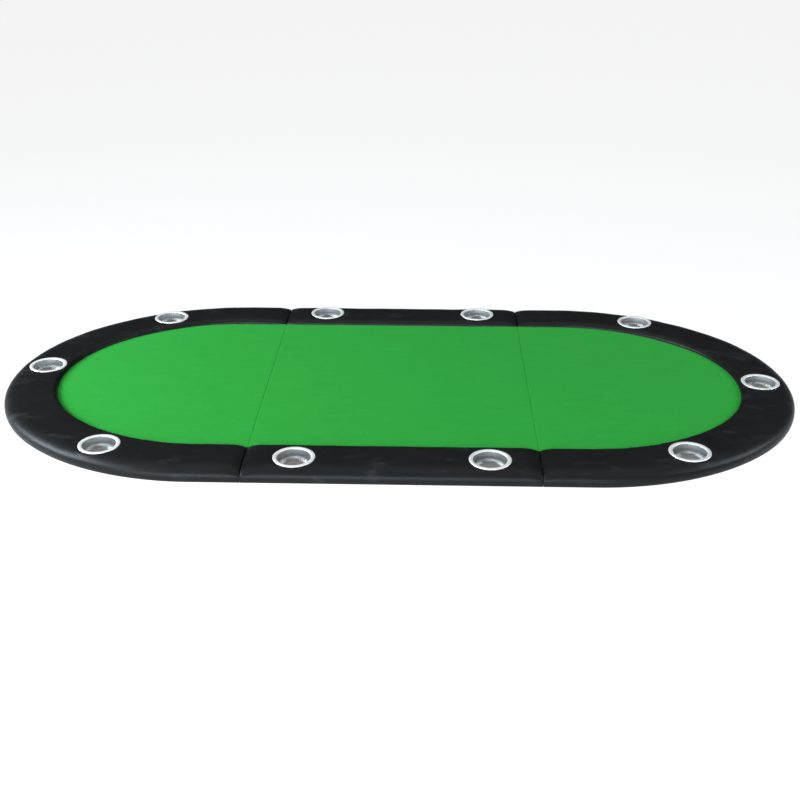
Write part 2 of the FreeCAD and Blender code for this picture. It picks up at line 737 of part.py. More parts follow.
def staple_places(side):
    """Places and directions at the pitch along the edge, as close to it as whole steps allow."""
    inset = value("sizes.staple_inset")
    pitch = value("sizes.staple_pitch")
    half = value(HALF_WIDTH) - inset
    if side == 0:
        length = 2 * value(CENTRE_FACE)
        count = round(length / pitch)
        steps = [(index + 0.5) * length / count - length / 2 for index in range(count)]
        along = FreeCAD.Vector(1, 0, 0)
        return [(FreeCAD.Vector(x, y, 0), along) for y in (-half, half) for x in steps]
    corners = wing_outline(side, "sizes.staple_inset")
    edges = []
    for first, second in zip(corners, corners[1:]):
        start, end = [FreeCAD.Vector(value(corner[0]), value(corner[1]), 0) for corner in (first, second)]
        if len(first) == 2:
            edges.append(Part.LineSegment(start, end).toShape())
            continue
        centre = arc_centre(start, end, value(first[2]), first[3])
        middle = centre + ((start + end) / 2 - centre).normalize() * value(first[2])
        edges.append(Part.Arc(start, middle, end).toShape())
    wire = Part.Wire(edges)
    count = round(wire.Length / pitch)
    points = wire.discretize(Number=2 * count + 1)
    return [(points[index], points[index + 1] - points[index - 1]) for index in range(1, 2 * count, 2)]


cut = {}
for name, side in SECTIONS.items():
    group = doc.addObject("Part::Feature", f"staples_{name}")
    group.Shape = Part.makeCompound([staple(centre, along) for centre, along in staple_places(side)])
    group.Label = f"staples_{name}"
    cut[group.Label] = group
    covers = [f"rail_cover_{rail}" for rail, (way, _) in RAILS.items() if way == side]
    for label in [f"{name}_board", *covers]:
        source = doc.getObject(label)
        bodies.remove(source)
        source.Label = f"{label}_uncut"
        pierced = doc.addObject("Part::Cut", f"{label}_pierced")
        pierced.Base = source
        pierced.Tool = group
        pierced.Label = label
        cut[label] = pierced
doc.recompute()

# ---- checks, then one file for each sub-part ----
for item in doc.Objects:
    if "Invalid" in item.State or "Error" in item.State:
        raise RuntimeError(f"{item.Name} failed: {item.State}")
subparts = {body.Label: body for body in bodies}
subparts.update(cut)
os.makedirs("parts", exist_ok=True)
for label, item in sorted(subparts.items()):
    if item.Shape.isNull() or not item.Shape.isValid() or not item.Shape.Solids:
        raise RuntimeError(f"{label} has no valid solid")
for label, item in sorted(subparts.items()):
    item.Shape.exportStep(f"parts/{label}.step")
    count = len(item.Shape.Solids)
    print(f"{label:34s} solids {count:3d}  volume {item.Shape.Volume:12.1f}")
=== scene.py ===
import json
import math

import bpy
import numpy as np
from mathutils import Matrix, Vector


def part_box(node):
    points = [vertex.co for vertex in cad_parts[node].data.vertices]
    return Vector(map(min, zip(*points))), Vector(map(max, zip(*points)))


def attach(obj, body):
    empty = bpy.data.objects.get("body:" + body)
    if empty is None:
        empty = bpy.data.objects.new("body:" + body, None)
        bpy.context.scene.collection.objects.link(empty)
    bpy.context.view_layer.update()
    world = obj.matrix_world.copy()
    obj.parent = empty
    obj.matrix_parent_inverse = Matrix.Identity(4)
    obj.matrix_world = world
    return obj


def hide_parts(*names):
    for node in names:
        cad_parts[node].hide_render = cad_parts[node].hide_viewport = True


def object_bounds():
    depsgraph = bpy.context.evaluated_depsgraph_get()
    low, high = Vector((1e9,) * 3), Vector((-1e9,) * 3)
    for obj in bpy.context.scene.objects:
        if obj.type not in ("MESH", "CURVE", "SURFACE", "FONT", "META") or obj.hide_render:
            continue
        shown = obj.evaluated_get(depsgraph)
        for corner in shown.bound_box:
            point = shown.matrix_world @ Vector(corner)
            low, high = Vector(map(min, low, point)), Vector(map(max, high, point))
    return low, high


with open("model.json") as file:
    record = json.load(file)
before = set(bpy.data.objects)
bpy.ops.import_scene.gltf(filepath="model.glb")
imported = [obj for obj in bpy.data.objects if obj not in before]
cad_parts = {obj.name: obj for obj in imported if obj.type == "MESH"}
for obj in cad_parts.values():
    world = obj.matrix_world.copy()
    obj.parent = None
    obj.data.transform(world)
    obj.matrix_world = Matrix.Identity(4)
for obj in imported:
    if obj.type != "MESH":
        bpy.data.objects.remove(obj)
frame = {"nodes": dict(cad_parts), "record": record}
nodes = frame["nodes"]
cad_low, cad_high = [list(corner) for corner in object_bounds()]


# ---- boards -------------------------------------------------------------------------------------
# Three sheets of raw fibreboard carry everything. They are sawn to the outline, bored for the cup
# holders and screws, and left bare underneath.

def set_material(piece, finish):
    """Gives every material slot of a piece the same finish."""
    piece.data.materials.clear()
    piece.data.materials.append(finish)


class Finish:
    """A Principled material and short ways to add texture nodes to it. Sockets are named with _ for
    a space."""

    def __init__(self, name, **sockets):
        self.made = bpy.data.materials.new(name)
        self.made.use_nodes = True
        self.tree = self.made.node_tree
        self.shader = self.tree.nodes["Principled BSDF"]
        for socket, number in sockets.items():
            self.shader.inputs[socket.replace("_", " ")].default_value = number

    def node(self, kind, inputs=None, **settings):
        made = self.tree.nodes.new(kind)
        for key, setting in settings.items():
            setattr(made, key, setting)
        for socket, given in (inputs or {}).items():
            if isinstance(given, bpy.types.NodeSocket):
                self.tree.links.new(given, made.inputs[socket])
            else:
                made.inputs[socket].default_value = given
        return made

    def place(self, kind="Object"):
        return self.node("ShaderNodeTexCoord").outputs[kind]

    def noise(self, where, scale, detail=4.0, roughness=0.55):
        grain = {"Scale": scale, "Detail": detail, "Roughness": roughness}
        return self.node("ShaderNodeTexNoise", {"Vector": where, **grain}).outputs["Fac"]

    def stretched(self, where, scale):
        return self.node("ShaderNodeMapping", {"Vector": where, "Scale": scale}).outputs["Vector"]

    def ramp(self, fac, stops):
        made = self.node("ShaderNodeValToRGB", {"Fac": fac})
        ends = made.color_ramp.elements
        while len(ends) < len(stops):
            ends.new(0.5)
        for end, (place, colour) in zip(ends, stops):
            end.position = place
            end.color = (*colour, 1) if hasattr(colour, "__len__") else (colour,) * 3 + (1,)
        return made.outputs["Color"]

    def level(self, fac, low, high, from_low=0.0, from_high=1.0):
        limits = {"From Min": from_low, "From Max": from_high, "To Min": low, "To Max": high}
        return self.node("ShaderNodeMapRange", {"Value": fac, **limits}).outputs["Result"]

    def bump(self, height, depth, strength=1.0, under=None):
        made = self.node("ShaderNodeBump", {"Height": height, "Distance": depth, "Strength": strength})
        if under is not None:
            self.tree.links.new(under, made.inputs["Normal"])
        return made.outputs["Normal"]

    def blend(self, under, over, kind):
        """Lays one colour over another at full strength, by the Mix node's way of blending."""
        made = self.node("ShaderNodeMix", data_type="RGBA", blend_type=kind)
        made.inputs["Factor"].default_value = 1.0
        self.tree.links.new(under, made.inputs["A"])
        self.tree.links.new(over, made.inputs["B"])
        return made.outputs["Result"]

    def connect(self, **sockets):
        for socket, source in sockets.items():
            self.tree.links.new(source, self.shader.inputs[socket.replace("_", " ")])
        return self.made


fibreboard = Finish("raw_fibreboard", Roughness=0.82)
where = fibreboard.place()
fibres = fibreboard.noise(where, 900, 6, 0.7)
clouds = fibreboard.noise(where, 14, 3)
flecks = fibreboard.noise(fibreboard.stretched(where, (60, 380, 200)), 6, 5, 0.8)
tone = fibreboard.ramp(fibres, [(0.30, (0.30, 0.20, 0.115)), (0.62, (0.46, 0.325, 0.20))])
shade = fibreboard.ramp(clouds, [(0.35, 0.82), (0.7, 1.0)])
fibreboard.connect(
    Base_Color=fibreboard.blend(tone, shade, "MULTIPLY"),
    Roughness=fibreboard.level(flecks, 0.74, 0.92),
    Normal=fibreboard.bump(fibres, 0.0002, 0.5),
)
for name in ("centre_board", "left_board", "right_board"):
    set_material(nodes[name], fibreboard.made)


# ---- rail cores and foam pads -------------------------------------------------------------------
# The rail cores are plywood rings. The pads under the playing cloth are cut from cream open-cell foam.
# Both are closed in, and show only as thin edges at the seams.

plywood = Finish("birch_plywood", Roughness=0.7)
where = plywood.place()
plies = plywood.node("ShaderNodeTexWave", {"Vector": where, "Scale": 330.0, "Distortion": 0.4})
plies.bands_direction = "Z"
grain = plywood.noise(plywood.stretched(where, (30, 400, 400)), 4, 5, 0.7)
tone = plywood.ramp(plies.outputs["Fac"], [(0.35, (0.36, 0.22, 0.11)), (0.6, (0.62, 0.46, 0.28))])
plywood.connect(
    Base_Color=tone,
    Roughness=plywood.level(grain, 0.6, 0.85),
    Normal=plywood.bump(grain, 0.0002, 0.5),
)
for name in ("front", "back", "left", "right"):
    set_material(nodes[f"rail_core_{name}"], plywood.made)

open_foam = Finish("open_cell_foam", Roughness=0.95, Subsurface_Weight=0.15)
where = open_foam.place()
cells = open_foam.node("ShaderNodeTexVoronoi", {"Vector": where, "Scale": 1400.0}).outputs["Distance"]
tone = open_foam.ramp(cells, [(0.0, (0.50, 0.46, 0.33)), (0.5, (0.80, 0.76, 0.62))])
open_foam.connect(Base_Color=tone, Normal=open_foam.bump(cells, 0.0004, 0.8))
for name in ("centre_pad_foam", "left_pad_foam", "right_pad_foam"):
    set_material(nodes[name], open_foam.made)


# ---- the plan of the top ------------------------------------------------------------------------
# The playing cloths and the rails follow one outline: straight past the seams, then round each end in
# a wide arc, a tighter arc at the tip and a wide arc again.

half_length = cad_high[0]
half_width = cad_high[1]
centre_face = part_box("centre_board")[1].x
wing_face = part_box("right_board")[0].x
board_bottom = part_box("centre_board")[0].z
board_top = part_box("centre_board")[1].z
cloth_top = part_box("centre_felt")[1].z
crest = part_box("rail_cover_front")[1].z
rail_width = half_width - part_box("centre_felt")[1].y
end_stretch = 0.042
nose_tightening = 0.030

extra = end_stretch + end_stretch**2 / (2 * nose_tightening)
wide_radius = half_width + extra
tip_radius = half_width - nose_tightening
straight_end = half_length - half_width - end_stretch
tip_centre = half_length - tip_radius
wide_turn = math.atan2(end_stretch + nose_tightening, extra)
straight_run = straight_end - wing_face
wide_run = wide_radius * wide_turn
tip_run = tip_radius * (math.pi - 2 * wide_turn)
wing_run = 2 * (straight_run + wide_run) + tip_run


def wing_plan(run, inset):
    """Place on the right wing at a run along its outer edge from the front seam, and an inset from that
    edge: the run goes straight, then round an arc at radius minus inset. The back half is the front half
    mirrored, so the run is folded at its middle."""
    run, inset = np.broadcast_arrays(np.asarray(run, float), np.asarray(inset, float))
    folded = np.minimum(run, wing_run - run)
    back = np.where(run > wing_run / 2, -1.0, 1.0)
    turn = (folded - straight_run) / wide_radius
    tip_turn = (folded - straight_run - wide_run) / tip_radius - (math.pi / 2 - wide_turn)
    parts = [folded <= straight_run, folded <= straight_run + wide_run]
    x = [wing_face + folded, straight_end + (wide_radius - inset) * np.sin(turn)]
    y = [inset - half_width, extra - (wide_radius - inset) * np.cos(turn)]
    x = np.select(parts, x, tip_centre + (tip_radius - inset) * np.cos(tip_turn))
    y = np.select(parts, y, (tip_radius - inset) * np.sin(tip_turn))
    return x, y * back


def centre_plan(run, inset):
    """The same for the front edge of the centre section, from its left seam to its right one."""
    run, inset = np.broadcast_arrays(np.asarray(run, float), np.asarray(inset, float))
    return run - centre_face, inset - half_width


def ripples(first, second, waves, seed):
    """A sum of sine waves over two lengths, with seeded directions and phases, scaled to about -1 to 1.
    waves are (wavelength along first, wavelength along second) pairs."""
    chance = np.random.default_rng(seed)
    total = np.zeros(np.broadcast(first, second).shape)
    for long_wave, cross_wave in waves:
        phase = chance.uniform(0, 2 * math.pi)
        tilt = chance.uniform(-1, 1)
        total = total + np.sin(2 * math.pi * (first / long_wave + tilt * second / cross_wave) + phase)
    return total / math.sqrt(len(waves))


def ease(low, high, number):
    """Goes smoothly from 0 at low to 1 at high: three times the part squared, less twice its cube."""
    part = np.clip((number - low) / (high - low), 0, 1)
    return part * part * (3 - 2 * part)


def mesh_piece(name, corners, faces, smooth=True, uv=None):
    """An object at the origin from arrays of corners and of four-cornered faces, turned to face outwards."""
    corners = np.asarray(corners, float).reshape(-1, 3)
    faces = np.asarray(faces, int).reshape(-1, 4)
    first, second, third, fourth = [corners[faces[:, index]] for index in range(4)]
    volume = np.einsum("ij,ij->i", np.cross(second - first, third - first), first).sum()
    volume += np.einsum("ij,ij->i", np.cross(third - first, fourth - first), first).sum()
    if volume < 0:
        faces = faces[:, ::-1]
    mesh = bpy.data.meshes.new(name)
    mesh.vertices.add(len(corners))
    mesh.vertices.foreach_set("co", corners.ravel())
    mesh.loops.add(faces.size)
    mesh.loops.foreach_set("vertex_index", faces.ravel())
    mesh.polygons.add(len(faces))
    mesh.polygons.foreach_set("loop_start", np.arange(len(faces)) * 4)
    mesh.polygons.foreach_set("loop_total", np.full(len(faces), 4))
    mesh.polygons.foreach_set("use_smooth", np.full(len(faces), smooth))
    mesh.update(calc_edges=True)
    mesh.validate()
    if uv is not None:
        layer = mesh.uv_layers.new(name="run")
        layer.data.foreach_set("uv", np.asarray(uv, float).reshape(-1, 2)[faces.ravel()].ravel())
    piece = bpy.data.objects.new(name, mesh)
    bpy.context.scene.collection.objects.link(piece)
    return piece


def grid_faces(rows, columns, start=0, loop_rows=False, loop_columns=False):
    """Quads of a grid numbered row by row; a looped side joins its last line to its first."""
    row = np.arange(rows if loop_rows else rows - 1)[:, None]
    column = np.arange(columns if loop_columns else columns - 1)[None, :]
    next_row = (row + 1) % rows
    next_column = (column + 1) % columns
    quads = [row * columns + column, row * columns + next_column]
    quads += [next_row * columns + next_column, next_row * columns + column]
    return start + np.stack(np.broadcast_arrays(*quads), -1).reshape(-1, 4)


def rim_faces(number, row_low=0, row_high=-1, column_low=0, column_high=-1):
    """Quads that join a rectangle of a grid's lines, or its whole border, to the same lines of the grid's
    copy, whose numbers follow on from the grid's."""
    ring = np.concatenate([
        number[row_low, column_low:column_high],
        number[row_low:row_high, column_high],
        number[row_high, column_high:column_low:-1],
        number[row_high:row_low:-1, column_low],
    ])
    after = np.roll(ring, -1)
    return np.stack([ring, after, after + number.size, ring + number.size], -1)


# ---- playing cloths -----------------------------------------------------------------------------
# Green felt, 1.5 mm thick, stretched over each foam pad. Its outer edge is trapped against the rail,
# and at a seam it turns down over the pad's edge and stops above the board.

cloth_thickness = 0.0015
seam_roll = 0.0009
seam_reach = 0.00038
cloth_tuck = 0.0003
cloth_clearance = 0.0005
hanging_rows = 4
turned_rows = 6
even_rows = 90
even_start = 0.006

felt = Finish("green_felt", Roughness=0.93, Sheen_Weight=0.05, Sheen_Roughness=0.5, Specular_IOR_Level=0.12)
felt.shader.inputs["Sheen Tint"].default_value = (0.2, 0.9, 0.3, 1)
where = felt.place()
nap = felt.noise(where, 2600, 5, 0.75)
tufts = felt.noise(where, 620, 4, 0.6)
brushing = felt.noise(felt.stretched(where, (14, 46, 14)), 1.0, 3)
tone = felt.ramp(tufts, [(0.30, (0.0145, 0.236, 0.0232)), (0.70, (0.0220, 0.303, 0.0343))])
shade = felt.ramp(brushing, [(0.30, 0.94), (0.70, 1.0)])
coarse = felt.bump(tufts, 0.0005, 0.35)
felt.connect(
    Base_Color=felt.blend(tone, shade, "MULTIPLY"),
    Roughness=felt.level(nap, 0.86, 1.0),
    Normal=felt.bump(nap, 0.00025, 0.6, under=coarse),
)


def cloth_piece(name, node, body, x, y, seam_rows):
    """A thin sheet over a grid of plan places. seam_rows are its first row (0) and last row (-1), where they
    lie at a seam: there the sheet goes over in a quarter circle and hangs down, its own last row included,
    in hanging_rows rows. The underside is the same grid moved down, or inwards where it hangs, by the
    cloth's thickness."""
    undulation = 0.00018 * ripples(x, y, [(0.31, 0.5), (0.17, 0.4), (0.23, 0.2), (0.47, 0.9)], 11)
    top = cloth_top + undulation
    for side in seam_rows:
        away = np.clip(np.abs(x - x[side]) / seam_roll, 0, 1)
        top = top - seam_roll * (1 - np.sqrt(1 - (1 - away) ** 2))
    sheet = np.stack([x, y, top], -1)
    fall = np.linspace(0, cloth_top - seam_roll - board_top - cloth_clearance, hanging_rows)[1:]
    hung = {side: sheet[side] - fall[:, None, None] * np.array([0, 0, 1]) for side in seam_rows}
    if 0 in hung:
        sheet = np.concatenate([hung[0][::-1], sheet])
    if -1 in hung:
        sheet = np.concatenate([sheet, hung[-1]])
    rows, columns = sheet.shape[:2]
    row = np.arange(rows)[:, None]
    turned = ((row < hanging_rows) & (0 in hung)) | ((row > rows - hanging_rows - 1) & (-1 in hung))
    inward = np.sign(sheet[..., 0].mean() - sheet[..., 0])
    inner = sheet.copy()
    inner[..., 0] += np.where(turned, inward * cloth_thickness, 0)
    under_turn = np.minimum(sheet[..., 2], cloth_top - cloth_thickness)
    inner[..., 2] = np.where(turned, under_turn, sheet[..., 2] - cloth_thickness)
    count = rows * columns
    number = np.arange(count).reshape(rows, columns)
    faces = [grid_faces(rows, columns), grid_faces(rows, columns, start=count)[:, ::-1]]
    faces.append(rim_faces(number)[:, ::-1])
    corners = np.concatenate([sheet.reshape(-1, 3), inner.reshape(-1, 3)])
    piece = mesh_piece(name, corners, np.concatenate(faces))
    set_material(piece, felt.made)
    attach(piece, body)
    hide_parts(node)
    return piece


def seam_spacing(total, both):
    """Steps from a seam that are fine over its turned edge, as one less a cosine, and even elsewhere."""
    fine = seam_roll * (1 - np.cos(np.linspace(0, math.pi / 2, turned_rows)))
    if both:
        even = np.linspace(even_start, total - even_start, even_rows)
        return np.concatenate([fine, even, total - fine[::-1]])
    return np.concatenate([fine, np.linspace(even_start, total, even_rows)])


cloth_edge = rail_width - cloth_tuck
across = np.linspace(-1, 1, 120)
cloth_face = centre_face + seam_reach
along = seam_spacing(2 * cloth_face, True)
x = np.repeat((along - cloth_face)[:, None], len(across), 1)
y = np.repeat((half_width - cloth_edge) * across[None, :], len(along), 0)
centre_cloth = cloth_piece("centre_playing_cloth", "centre_felt", "centre_section", x, y, (0, -1))


def wing_cloth(name, side):
    """A wing's cloth: each row goes from the front of the rail's inner edge to the back, and the rows follow
    on from the seam to the tip, closing up as a sine so that the last one is a short chord at the tip."""
    start = wing_face - seam_reach
    reach = half_length - cloth_edge - start
    steps = seam_spacing(reach, False) / reach
    even = steps[turned_rows:]
    even[:] = even[0] + (1 - even[0]) * np.sin(np.linspace(0, math.pi / 2, len(even)))
    distance = steps * reach * 0.9995
    run = np.linspace(0, wing_run / 2, 4000)
    edge_x, edge_y = wing_plan(run, cloth_edge)
    half_span = np.interp(distance + start, edge_x, -edge_y)
    x = np.repeat((distance + start)[:, None], len(across), 1)
    y = half_span[:, None] * across[None, :]
    piece = cloth_piece(f"{name}_playing_cloth", f"{name}_felt", f"{name}_wing", side * x, y, (0,))


wing_cloth("left", -1)
wing_cloth("right", 1)


# ---- cup holders --------------------------------------------------------------------------------
# Drawn stainless cups, spun to a brushed finish inside and satin on the flange. The steel inside is given a
# darkened colour as painted shade, and the flange's top and rolled edge a warm near-white colour as painted
# highlight. The flange is slightly domed and rolled under at its edge, and the floor meets the wall in a
# large round. Each cup drops through its hole and sits on the rail.

cup_names = [f"cup_holder_{number:02d}" for number in range(1, 11)]
bodies = frame["record"]["behaviour"]["bodies"]
cup_body = {node: body for body, members in bodies.items() for node in members if node in cup_names}
cup_places = {name: (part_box(name)[0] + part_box(name)[1]) / 2 for name in cup_names}
rim_radius = (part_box(cup_names[0])[1].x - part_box(cup_names[0])[0].x) / 2
cup_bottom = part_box(cup_names[0])[0].z
rim_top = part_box(cup_names[0])[1].z
sheet_steel = 0.0008
cup_inside = 0.0395
floor_round = 0.021
floor_rise = 0.0010
flange_dome = 0.0008
mouth_round = 0.0022
mouth_drop = 0.0006
bead_radius = 0.0013
wall_draft = 0.0016
hub_radius = 0.0003
rim_margin = 0.0006

shaded_inside_steel = Finish("cup_steel_painted_shade", Metallic=1.0, Roughness=0.5, Anisotropic=0.6)
where = shaded_inside_steel.place("UV")
streaks = shaded_inside_steel.noise(shaded_inside_steel.stretched(where, (520, 9, 1)), 1.0, 5, 0.7)
fine_streaks = shaded_inside_steel.noise(shaded_inside_steel.stretched(where, (1700, 14, 1)), 1.0, 3, 0.6)
smears = shaded_inside_steel.noise(shaded_inside_steel.stretched(where, (9, 40, 1)), 1.0, 3)
# the steel inside the cups is darkened here: painted shade inside the cups
tone = shaded_inside_steel.ramp(streaks, [(0.25, (0.26, 0.255, 0.248)), (0.75, (0.44, 0.435, 0.423))])
soft = shaded_inside_steel.bump(streaks, 0.00006, 0.55)
shaded_inside_steel.connect(
    Base_Color=tone,
    Roughness=shaded_inside_steel.level(smears, 0.42, 0.58),
    Normal=shaded_inside_steel.bump(fine_streaks, 0.00003, 0.5, under=soft),
)
highlit_rim_steel = Finish("rim_steel_painted_highlight", Metallic=0.55, Roughness=0.4)
where = highlit_rim_steel.place("UV")
turning = highlit_rim_steel.noise(highlit_rim_steel.stretched(where, (3, 900, 1)), 1.0, 4, 0.6)
# the flange's warm near-white colour is a painted highlight on the same steel
tone = highlit_rim_steel.ramp(turning, [(0.2, (0.90, 0.885, 0.85)), (0.8, (0.97, 0.955, 0.92))])
highlit_rim_steel.connect(
    Base_Color=tone,
    Roughness=highlit_rim_steel.level(turning, 0.36, 0.48),
    Normal=highlit_rim_steel.bump(turning, 0.00002, 0.4),
)


def arc(centre_r, centre_z, radius, start, end, count):
    """Points of an arc in a section: centre plus radius times the angle's cosine and sine, with the angles
    in degrees from the outward direction."""
    angle = np.radians(np.linspace(start, end, count))
    return np.stack([centre_r + radius * np.cos(angle), centre_z + radius * np.sin(angle)], -1)


def cup_section():
    """The cup's section from the middle of its floor, up the inside, over the flange, round the rolled edge
    and back down the outside to the middle: (distance from the axis, height) pairs."""
    floor = cup_bottom + sheet_steel
    wall_foot = cup_inside - wall_draft
    flat_radius = wall_foot - floor_round
    pressed = np.linspace(hub_radius, flat_radius, 14)
    raised = floor + floor_rise * ease(0, 0.004, flat_radius - 0.001 - pressed)
    rings = 0.00012 * np.cos(pressed / 0.0045 * 2 * math.pi) * (pressed < flat_radius - 0.005)
    inside = [np.stack([pressed, raised + rings], -1)]
    inside.append(arc(wall_foot - floor_round, floor + floor_round, floor_round, -90, 0, 12)[1:])
    mouth_low = rim_top - mouth_round - mouth_drop
    rise = np.linspace(0, 1, 8)[1:]
    wall_r = wall_foot + (cup_inside - wall_foot) * rise
    inside.append(np.stack([wall_r, floor + floor_round + (mouth_low - floor - floor_round) * rise], -1))
    inside.append(arc(cup_inside + mouth_round, mouth_low, mouth_round, 180, 98, 7)[1:])
    flange = np.linspace(0.08, 1, 9)
    start_r, start_z = inside[-1][-1]
    end_r = rim_radius - bead_radius * 1.5
    bow = np.sin(math.pi * flange) * flange_dome * 0.6
    flange_z = start_z + (rim_top - bead_radius * 0.2 - start_z) * flange + bow
    inside.append(np.stack([start_r + (end_r - start_r) * flange, flange_z], -1))
    bead_z = inside[-1][-1][1] - bead_radius
    inside.append(arc(rim_radius - bead_radius, bead_z, bead_radius, 75, -150, 12))
    inside = np.concatenate(inside)
    under = np.array([
        (rim_radius - 2.2 * bead_radius, bead_z + bead_radius * 0.15),
        (cup_inside + mouth_round + sheet_steel, mouth_low + mouth_round - sheet_steel),
        (cup_inside + sheet_steel, mouth_low - 0.001),
        (cup_inside + sheet_steel - 0.0008, floor + floor_round + 0.004),
    ])
    back = arc(wall_foot - floor_round, floor + floor_round, floor_round + sheet_steel, 0, -90, 10)
    last = np.array([(0.012, cup_bottom), (hub_radius, cup_bottom)])
    return np.concatenate([inside, under, back, last])


def disc_faces(ring):
    """Quads that close a ring of an even number of corners, in strips straight across it."""
    near = np.arange(len(ring) // 2 - 1)
    far = len(ring) - 1 - near
    return ring[np.stack([near, near + 1, far - 1, far], -1)]


section = cup_section()
turns = 144
around = np.linspace(0, 2 * math.pi, turns, endpoint=False)
along_section = np.concatenate([[0], np.cumsum(np.hypot(*np.diff(section, axis=0).T))])
uv = np.stack(np.broadcast_arrays(around[:, None] / (2 * math.pi), along_section[None, :] / 0.1), -1)
hub = np.arange(turns) * len(section)
sides = grid_faces(turns, len(section), loop_rows=True)
cup_faces = np.concatenate([sides, disc_faces(hub), disc_faces(hub + len(section) - 1)[:, ::-1]])
for name in cup_names:
    place = cup_places[name]
    ring_x = place.x + section[:, 0][None, :] * np.cos(around)[:, None]
    ring_y = place.y + section[:, 0][None, :] * np.sin(around)[:, None]
    ring_z = np.repeat(section[:, 1][None, :], turns, 0)
    piece = mesh_piece(f"steel_{name}", np.stack([ring_x, ring_y, ring_z], -1), cup_faces, uv=uv)
    piece.data.materials.append(shaded_inside_steel.made)
    piece.data.materials.append(highlit_rim_steel.made)
    middle = np.zeros(len(piece.data.polygons) * 3)
    piece.data.polygons.foreach_get("center", middle)
    middle = middle.reshape(-1, 3)
    out = np.hypot(middle[:, 0] - place.x, middle[:, 1] - place.y)
    # faces on the flange's top and rolled edge take the painted-highlight steel, and all other faces take
    # the painted-shade steel
    on_rim = (out > cup_inside + rim_margin) & (middle[:, 2] > crest - 0.001)
    piece.data.polygons.foreach_set("material_index", on_rim.astype(int))
    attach(piece, cup_body[name])
    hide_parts(name)


# ---- padded rails -------------------------------------------------------------------------------
# A foam roll under black leatherette, one for each straight side and one round each wing. The cover
# comes up from a stapled flap under the board, is gathered and pulled down at the seams, and puckers
# a little round the curves. Holes are cut for the cup holders, and their flanges hide the edges.

flap = 0.026
skin = 0.001
side_bulge = 0.0022
side_height = 0.017
under_curve = 0.0050
roll_width = 0.040
roll_power = 2.35
inner_roll_width = 0.014
inner_roll_height = crest - cloth_top
hole_radius = rim_radius - 0.0062
hole_square = 0.038
hole_reach = 0.053
cup_line = 0.064
line_step = 0.00004
row_step = 0.0048
outward_step = 0.001
end_drop = 0.0085
end_reach = 0.042
end_corner = 0.0035
crown = 0.0007

leatherette = Finish("black_leatherette", Roughness=0.38, Specular_IOR_Level=0.165)
where = leatherette.place()
cells = {"Vector": where, "Scale": 760.0}
pores = leatherette.node("ShaderNodeTexVoronoi", cells, feature="DISTANCE_TO_EDGE")
creases = leatherette.level(pores.outputs["Distance"], 0.0, 1.0, 0.0, 0.16)
pebble = leatherette.noise(where, 1500, 3)
drift = leatherette.noise(where, 9, 3)
wear = leatherette.noise(where, 60, 4, 0.65)
tone = leatherette.ramp(drift, [(0.3, (0.0048, 0.0046, 0.0046)), (0.75, (0.0076, 0.0073, 0.0073))])
scuffs = leatherette.noise(leatherette.stretched(where, (9, 22, 9)), 1.0, 7, 0.72)
rubbed = leatherette.ramp(scuffs, [(0.56, (0, 0, 0)), (0.80, (0.024, 0.024, 0.025))])
fine = leatherette.bump(pebble, 0.00006, 0.35)
leatherette.connect(
    Base_Color=leatherette.blend(tone, rubbed, "ADD"),
    Roughness=leatherette.level(wear, 0.33, 0.45),
    Normal=leatherette.bump(creases, 0.00012, 0.45, under=fine),
)


def rail_top(inset):
    """Height of the rail's surface at an inset: a full quarter oval up from the side, with the sum of powers
    rather than of squares, a low crown as a half sine, and a smaller quarter oval down to the playing
    cloth."""
    out = np.clip((roll_width - inset) / (roll_width + side_bulge), 0, 1)
    inn = np.clip((inset - rail_width + inner_roll_width) / inner_roll_width, 0, 1)
    height = side_height + (crest - side_height) * np.clip(1 - out**roll_power, 0, 1) ** (1 / roll_power)
    height = height - inner_roll_height * (1 - np.sqrt(np.clip(1 - inn**2, 0, 1)))
    middle = np.clip((inset - 0.012) / (rail_width - 0.022), 0, 1)
    return height + crown * np.sin(math.pi * middle)


def spaced(marks, step):
    """Evenly spaced numbers from each mark to the next, no further apart than the step."""
    lines = [np.linspace(low, high, max(2, math.ceil((high - low) / step) + 1))[:-1]
             for low, high in zip(marks, marks[1:])]
    return np.concatenate([*lines, [marks[-1]]])


def rail_chains():
    """The lines that run along a rail: (inset, height) of the flap and side, insets over the top, heights
    down the inner wall, and the lines on the board that each of these is paired with, in the same three
    parts."""
    corner = np.radians(np.linspace(0, 90, 11))[1:]
    low = board_bottom - skin
    outside = [(inset, low) for inset in np.linspace(flap, under_curve - side_bulge, 6)]
    inset_under = under_curve * (1 - np.sin(corner)) - side_bulge
    outside += list(zip(inset_under, low + (side_height - low) * (1 - np.cos(corner))))
    first_hole, last_hole = cup_line - hole_square, cup_line + hole_square
    start = np.cos(np.linspace(0, 0.95, 13)[1:]) ** (2 / roll_power)
    over = np.concatenate([
        roll_width - (roll_width + side_bulge) * start,
        spaced([0.0135, first_hole, last_hole, rail_width - inner_roll_width], row_step),
        rail_width - inner_roll_width * (1 - np.sin(np.linspace(0, math.pi / 2, 9)[1:])),
    ])
    inner_wall = np.linspace(cloth_top, board_top, 4)[1:]
    under = [(inset, board_bottom) for inset in np.linspace(flap, skin, 6)]
    under += [(skin, height) for height in np.linspace(board_bottom, board_top, 11)[1:]]
    bearing = np.maximum(over, skin + np.arange(1, len(over) + 1) * line_step)
    bearing = np.minimum(bearing, rail_width - skin - np.arange(len(over), 0, -1) * line_step)
    wall_bearing = rail_width - skin + np.array([0.0001, 0.0003, 0.0005])
    return outside, over, inner_wall, under, bearing, wall_bearing


